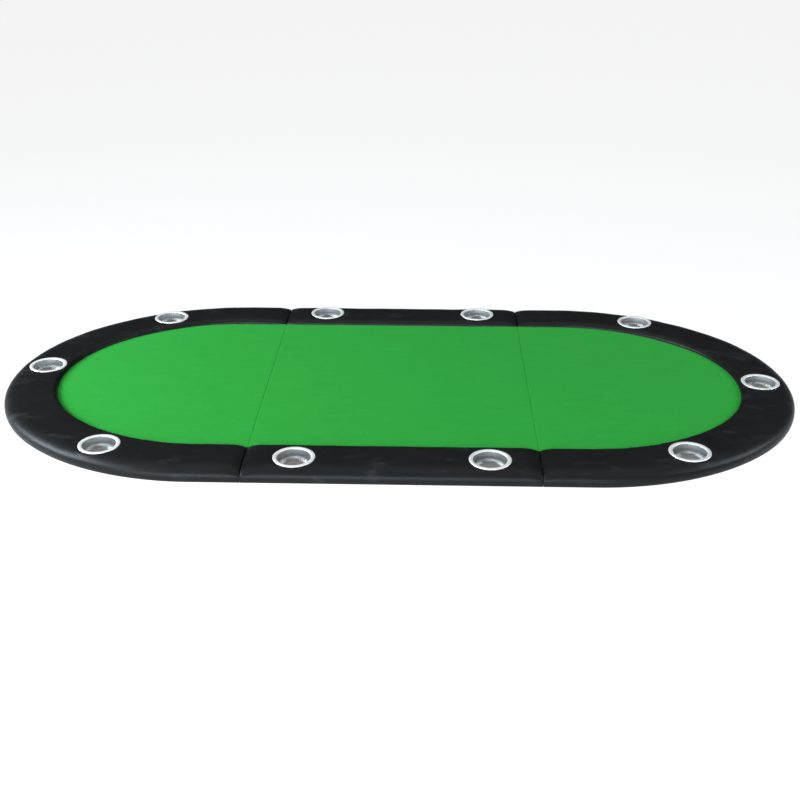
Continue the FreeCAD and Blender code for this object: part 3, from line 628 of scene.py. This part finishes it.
def rail_piece(name, body, plan, total, cups, flip, seed):
    """One padded rail, as a grid and its pair on the board. Rows are runs along the outer edge, and columns
    go up the outside and over. Round each cup holder the square of lines is drawn into a circle, by scaling
    each corner's distance to its square distance, and the faces inside are left out."""
    outside, over, inner_wall, under, bearing, wall_bearing = rail_chains()
    near = np.array([0, 0.4, 1.0, 1.9, 3.2, 5.0, 7.5, 11, 15, 20, 27, 34]) / 1000
    marks = [end_reach]
    for run, _ in cups:
        marks += [run - hole_reach, run - hole_square, run + hole_square, run + hole_reach]
    marks.append(total - end_reach)
    runs = np.concatenate([near, spaced(sorted(marks), row_step), total - near[::-1]])
    first, last = len(outside), len(outside) + len(over)
    shape = (len(runs), last + len(inner_wall))
    inset = np.zeros(shape)
    height = np.zeros(shape)
    board_inset = np.zeros(shape)
    board_height = np.zeros(shape)
    inset[:, :first], height[:, :first] = np.array(outside).T[:, None]
    board_inset[:, :first], board_height[:, :first] = np.array(under).T[:, None]
    inset[:, first:last], board_inset[:, first:last] = over, bearing
    board_height[:, first:] = board_top
    inset[:, last:], board_inset[:, last:] = rail_width, wall_bearing
    run = np.repeat(runs[:, None], shape[1], 1)

    # the lines over the top follow the cup holders' own insets, and those near the rail's edges stay
    for cup_run, cup_inset in cups:
        shift = (cup_inset - cup_line) * (1 - ease(hole_reach, 3 * hole_reach, np.abs(run - cup_run)))
        free = ease(0.004, 0.026, inset) * (1 - ease(0.102, 0.128, inset))
        free[:, :first] = free[:, last:] = 0
        inset, board_inset = inset + shift * free, board_inset + shift * free

    x, y = plan(run, inset)
    board_x, board_y = plan(run, board_inset)
    open_faces = np.zeros((shape[0] - 1, shape[1] - 1), bool)
    rings = []
    dimple = np.zeros(shape)
    lift = np.zeros(shape)
    for cup_run, cup_inset in cups:
        centre = np.array(plan(cup_run, cup_inset)).ravel()
        ahead = np.array(plan(cup_run + 0.001, cup_inset)).ravel() - centre
        ahead = ahead / np.hypot(*ahead)
        inward = np.array([-ahead[1], ahead[0]])
        offset = np.stack([x - centre[0], y - centre[1]], -1)
        a, b = offset @ ahead, offset @ inward
        square = np.maximum(np.abs(run - cup_run), np.abs(inset - cup_inset))
        pull = 1 - ease(hole_square, hole_reach, square)
        pull[:, :first] = pull[:, last:] = 0
        far = np.maximum(np.hypot(a, b), 1e-9)
        reach = hole_radius * square / hole_square
        new_a, new_b = [way + pull * (way / far * reach - way) for way in (a, b)]
        x = centre[0] + new_a * ahead[0] + new_b * inward[0]
        y = centre[1] + new_a * ahead[1] + new_b * inward[1]
        moved = (pull > 0) & (inset > 0.004)
        board_x, board_y = [np.where(moved, *pair) for pair in ((x, board_x), (y, board_y))]
        inset = inset + (new_b - b)
        gap = np.hypot(x - centre[0], y - centre[1]) - rim_radius
        dimple += np.exp(-((gap / 0.006) ** 2)) * 0.0006 - np.exp(-(((gap - 0.014) / 0.010) ** 2)) * 0.0004
        lift = np.maximum(lift, 1 - ease(-0.004, 0.012, gap))
        inside = square <= hole_square + 1e-6
        inside[:, :first] = False
        inside[:, last:] = False
        open_faces |= inside[:-1, :-1] & inside[1:, :-1] & inside[:-1, 1:] & inside[1:, 1:]
        rows, columns = np.nonzero(inside)
        rings.append((rows.min(), rows.max(), columns.min(), columns.max()))

    # the surface itself: rolls and crown, taper and gathers at the seams, puckers inside the curves
    from_end = np.minimum(run, total - run)
    over_top = rail_top(np.clip(inset[:, first:last], -side_bulge, rail_width))
    flange_seat = np.maximum(over_top, crest - 0.0006)
    over_top = over_top + 0.85 * lift[:, first:last] * (flange_seat - over_top)
    height[:, first:last] = over_top - dimple[:, first:last]
    curve = 1 - np.clip(1 - from_end / end_reach, 0, 1) ** 2.2
    corner = np.clip(1 - from_end / end_corner, 0, 1)
    lowered = end_drop * (1 - curve) + end_corner * (1 - np.sqrt(1 - corner**2))
    above = np.clip((height - board_top) / (crest - board_top), 0, 1)
    height = height - lowered * above
    wall_height = np.linspace(1, 0, len(inner_wall) + 1)[1:]
    edge_height = height[:, last - 1][:, None]
    height[:, last:] = board_top + (edge_height - board_top) * wall_height
    gathers = ripples(inset, run, [(0.0085, 0.16), (0.012, 0.2), (0.017, 0.3)], seed)
    gathers = gathers * np.clip(1 - from_end / (end_reach * 1.15), 0, 1) ** 1.5
    curved = ease(0.10, 0.24, from_end) * (plan is wing_plan)
    puckers = ripples(run, inset, [(0.021, 0.4), (0.034, 0.3), (0.055, 0.5)], seed + 1)
    slow = ripples(run, inset, [(0.14, 0.3), (0.26, 0.5), (0.09, 0.25)], seed + 2)
    inner_side = ease(0.085, 0.122, inset)
    outer_side = 1 - ease(0.0, 0.030, inset)
    relief = 0.00050 * gathers + 0.00030 * curved * puckers * inner_side + 0.00035 * slow * above
    relief = relief + 0.00022 * curved * puckers * outer_side
    seam_free = ease(0.0, 0.002, from_end)
    height[:, first:last] += (relief * above * seam_free)[:, first:last]
    column = np.arange(shape[1])
    push = 0.5 * relief * seam_free * ((column >= 8) & (column < first))

    # the rail's ends are rounded in plan: the outer and inner walls draw in near the seam
    draw_in = 0.0030 * np.clip(1 - from_end / 0.016, 0, 1) ** 2
    inner_part = ease(rail_width - 0.020, rail_width, inset) * (column >= first)
    outer_part = (1 - ease(0, 0.020, inset)) * ease(0.011, 0.018, height)
    move = (push + draw_in * (inner_part - 0.6 * outer_part)) / outward_step
    outward_x, outward_y = plan(run, np.full(shape, -outward_step))
    edge_x, edge_y = plan(run, np.zeros(shape))
    x = x + (outward_x - edge_x) * move
    y = y + (outward_y - edge_y) * move

    top = np.stack([x * flip[0], y * flip[1], height], -1)
    base = np.stack([board_x * flip[0], board_y * flip[1], board_height], -1)
    count = shape[0] * shape[1]
    number = np.arange(count).reshape(shape)
    closed = grid_faces(*shape).reshape(shape[0] - 1, shape[1] - 1, 4)[~open_faces]
    faces = [closed, closed[:, ::-1] + count]
    faces += [rim_faces(number, *ring) for ring in rings]
    faces.append(rim_faces(number)[:, ::-1])
    corners = np.concatenate([top.reshape(-1, 3), base.reshape(-1, 3)])
    piece = mesh_piece(f"padded_rail_{name}", corners, np.concatenate(faces))
    set_material(piece, leatherette.made)
    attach(piece, body)
    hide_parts(f"rail_cover_{name}", f"rail_foam_{name}")


straight_place, corner_place = cup_places["cup_holder_04"], cup_places["cup_holder_09"]
straight_x, straight_y = abs(straight_place.x), abs(straight_place.y)
straight_cups = [(centre_face + way * straight_x, half_width - straight_y) for way in (-1, 1)]
corner_x, corner_y = corner_place.x - straight_end, corner_place.y + extra
corner_inset = wide_radius - math.hypot(corner_x, corner_y)
corner_run = straight_run + wide_radius * math.atan2(corner_x, corner_y)


def wing_cups(end_cup):
    """Run and inset of a wing's three cup holders; the one at the tip sits a little off the long axis."""
    reach = abs(cup_places[end_cup].x) - tip_centre
    aside = cup_places[end_cup].y
    end_run = wing_run / 2 + tip_radius * math.atan2(aside, reach)
    end_inset = tip_radius - math.hypot(reach, aside)
    return [(corner_run, corner_inset), (end_run, end_inset), (wing_run - corner_run, corner_inset)]


for name, way, seed in (("front", 1, 21), ("back", -1, 31)):
    rail_piece(name, "centre_section", centre_plan, 2 * centre_face, straight_cups, (way, way), seed)
for name, end_cup, way, seed in (("left", "cup_holder_03", -1, 41), ("right", "cup_holder_10", 1, 51)):
    rail_piece(name, f"{name}_wing", wing_plan, wing_run, wing_cups(end_cup), (way, 1), seed)


# ---- hinges, screws and staples -----------------------------------------------------------------
# Zinc-plated steel, with the soft cloudy shine of plating: two butt hinges under the left seam and two
# double hinges under the right one. The pins are bright drawn wire.

zinc = Finish("zinc_plated_steel", Metallic=1.0, Roughness=0.36)
where = zinc.place()
clouding = zinc.noise(where, 55, 4)
specks = zinc.noise(where, 1200, 3)
tone = zinc.ramp(clouding, [(0.3, (0.50, 0.51, 0.53)), (0.7, (0.68, 0.685, 0.69))])
zinc.connect(
    Base_Color=tone,
    Roughness=zinc.level(specks, 0.28, 0.46),
    Normal=zinc.bump(specks, 0.00003, 0.4),
)
wire_steel = Finish("bright_wire", Metallic=1.0, Roughness=0.25)
where = wire_steel.place()
drawn = wire_steel.noise(wire_steel.stretched(where, (2500, 30, 2500)), 1.0, 3)
tone = wire_steel.ramp(drawn, [(0.3, (0.56, 0.56, 0.57)), (0.7, (0.74, 0.74, 0.75))])
wire_steel.connect(Base_Color=tone, Roughness=wire_steel.level(drawn, 0.2, 0.34))
for name, node in nodes.items():
    if "screws" in name or "leaf" in name or "link" in name:
        set_material(node, zinc.made)
    elif "_pin" in name or "staples" in name:
        set_material(node, wire_steel.made)


# ---- feet ---------------------------------------------------------------------------------------
# Black moulded rubber pads stuck under the boards.

rubber = Finish("foot_rubber", Roughness=0.75, Specular_IOR_Level=0.3)
where = rubber.place()
dust = rubber.noise(where, 240, 5, 0.7)
tone = rubber.ramp(dust, [(0.4, (0.018, 0.018, 0.018)), (0.8, (0.045, 0.044, 0.042))])
rubber.connect(
    Base_Color=tone,
    Roughness=rubber.level(dust, 0.66, 0.9),
    Normal=rubber.bump(dust, 0.0001, 0.4),
)
for name in ("feet_centre", "feet_left", "feet_right"):
    set_material(nodes[name], rubber.made)


# ---- floor, light and camera --------------------------------------------------------------------
# A plain white floor and a pale backdrop, with soft lights: one off each end, a broad low one in front
# and a faint one overhead. The camera stands in front of the long side and looks down on the cloth.

floor_height = -0.76
floor_reach = 60.0
mesh = bpy.data.meshes.new("floor")
ways = [(-1, -1), (1, -1), (1, 1), (-1, 1)]
mesh.from_pydata([(x * floor_reach, y * floor_reach, floor_height) for x, y in ways], [], [(0, 1, 2, 3)])
floor = bpy.data.objects.new("floor", mesh)
bpy.context.scene.collection.objects.link(floor)
white = Finish("white_floor", Roughness=0.9)
white.shader.inputs["Base Color"].default_value = (0.25, 0.25, 0.25, 1)
white.shader.inputs["Emission Color"].default_value = (1, 1, 1, 1)
white.shader.inputs["Emission Strength"].default_value = 0.80
set_material(floor, white.made)

world = bpy.data.worlds.new("studio")
bpy.context.scene.world = world
world.use_nodes = True
tree = world.node_tree
direction = tree.nodes.new("ShaderNodeTexCoord")
split = tree.nodes.new("ShaderNodeSeparateXYZ")
rise = tree.nodes.new("ShaderNodeValToRGB")
tree.links.new(direction.outputs["Generated"], split.inputs["Vector"])
tree.links.new(split.outputs["Z"], rise.inputs["Fac"])
seen = tree.nodes.new("ShaderNodeLightPath")
backdrop = tree.nodes.new("ShaderNodeMix")
backdrop.data_type = "RGBA"
backdrop.inputs["B"].default_value = (0.93, 0.93, 0.93, 1)
tree.links.new(seen.outputs["Is Camera Ray"], backdrop.inputs["Factor"])
tree.links.new(rise.outputs["Color"], backdrop.inputs["A"])
tree.links.new(backdrop.outputs["Result"], tree.nodes["Background"].inputs["Color"])
stops = rise.color_ramp.elements
stops[0].position, stops[0].color = 0.46, (0.035, 0.035, 0.04, 1)
stops[1].position, stops[1].color = 0.92, (0.80, 0.80, 0.80, 1)
tree.nodes["Background"].inputs["Strength"].default_value = 0.9


def soft_light(name, place, target, size, power, colour):
    """A rectangular light at a place, turned to face its target."""
    lamp = bpy.data.lights.new(name, "AREA")
    lamp.shape = "RECTANGLE"
    lamp.size, lamp.size_y = size
    lamp.energy = power
    lamp.color = colour
    made = bpy.data.objects.new(name, lamp)
    bpy.context.scene.collection.objects.link(made)
    made.location = place
    made.rotation_euler = (Vector(target) - Vector(place)).to_track_quat("-Z", "Y").to_euler()


soft_light("left_softbox", (-3.5, -0.5, 1.5), (-0.8, -0.2, 0), (2.0, 1.3), 240, (0.80, 0.91, 1.0))
soft_light("right_softbox", (3.7, -0.4, 1.6), (0.8, -0.2, 0), (1.6, 1.1), 80, (0.80, 0.91, 1.0))
soft_light("front_softbox", (-1.4, -5.2, 1.2), (0, 0, 0), (6.0, 2.2), 420, (0.78, 0.90, 1.0))
soft_light("ceiling_softbox", (0.0, 0.3, 3.2), (0, 0, 0), (3.0, 2.0), 5, (1, 1, 1))

look_down = 0.443
look_left = 0.028
camera = bpy.data.cameras.new("camera")
camera.sensor_width = 36
camera.lens = 51.3
camera_piece = bpy.data.objects.new("camera", camera)
bpy.context.scene.collection.objects.link(camera_piece)
camera_piece.location = (0.0842, -2.795, 1.297)
camera_piece.rotation_euler = (math.pi / 2 - look_down, 0, look_left)
bpy.context.scene.camera = camera_piece
bpy.context.scene.view_settings.view_transform = "Standard"
